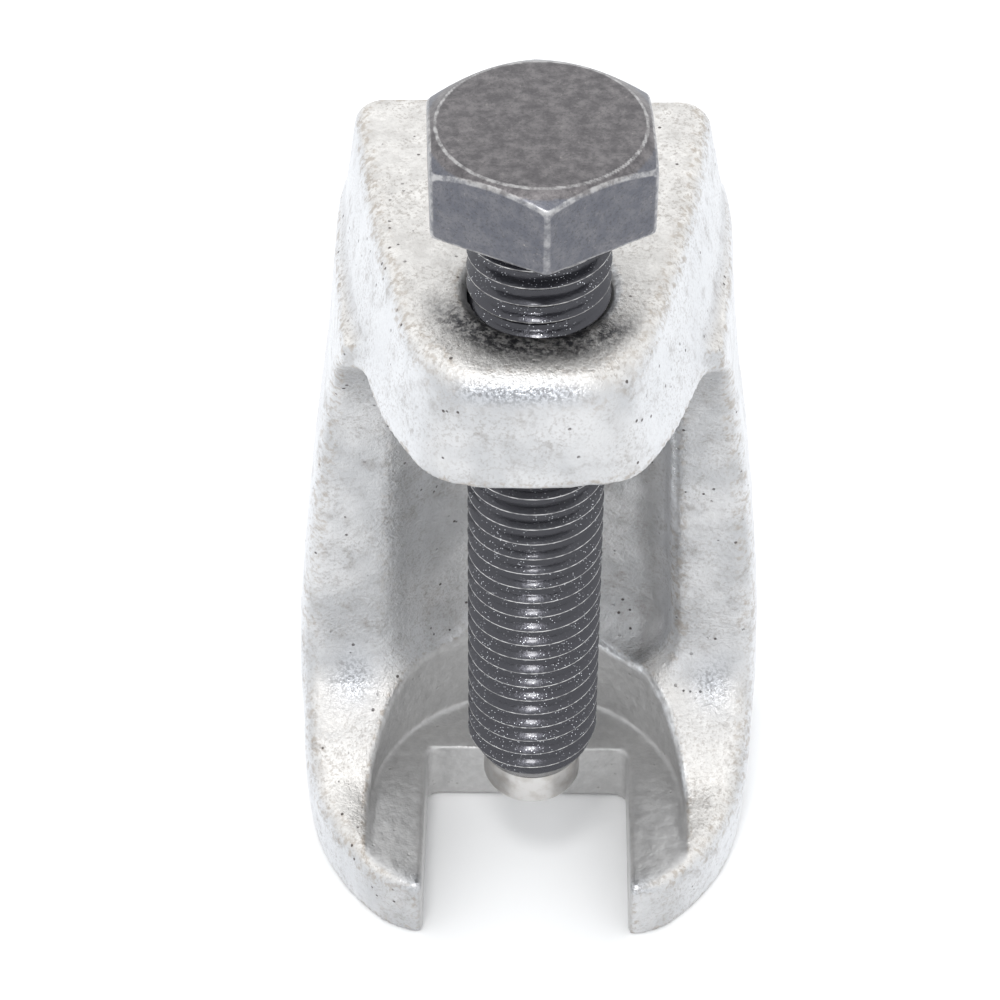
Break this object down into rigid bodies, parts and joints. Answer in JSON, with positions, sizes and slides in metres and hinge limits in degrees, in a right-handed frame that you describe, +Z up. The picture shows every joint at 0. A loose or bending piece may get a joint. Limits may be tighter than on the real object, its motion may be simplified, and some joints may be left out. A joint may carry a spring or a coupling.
{
  "type": "ball joint separator",
  "caption": "Forged C-shaped ball joint separator: forked foot that slips round the joint, threaded boss above it and a hexagon-headed forcing screw that presses the stud out.",
  "frame": {"origin": "centre of the object's footprint, on the surface that the fork's underside stands on", "axes": "+Z up along the forcing screw, towards its head; the fork opens towards -Y; +X is to the right when looking into the fork"},
  "size_m": [0.044, 0.0398, 0.087],
  "materials": {
    "forged_steel": "satin, grainy forged surface with small pits, worn and grimy at the edges",
    "black_oxide_steel": "oiled black oxide, worn bright along the edges",
    "turned_steel": "bright, finely turned"
  },
  "bodies": {
    "frame": {"fork_body": "forged_steel"},
    "thrust_end": {"thrust_tip": "turned_steel"},
    "screw": {"forcing_screw": "black_oxide_steel"}
  },
  "joints": [
    {"name": "screw_feed", "type": "slide", "parent": "frame", "child": "thrust_end", "axis": [0, 0, 1], "range_m": [-0.00895, 0.0458]},
    {"name": "screw_turn", "type": "hinge", "parent": "thrust_end", "child": "screw", "pos_m": [0, -0.0065, 0], "axis": [0, 0, 1], "range_deg": [-1850, 9430]}
  ],
  "couplings": [
    {"joint": "screw_turn", "follows": "screw_feed", "rad_per_m": 3590.4}
  ]
}
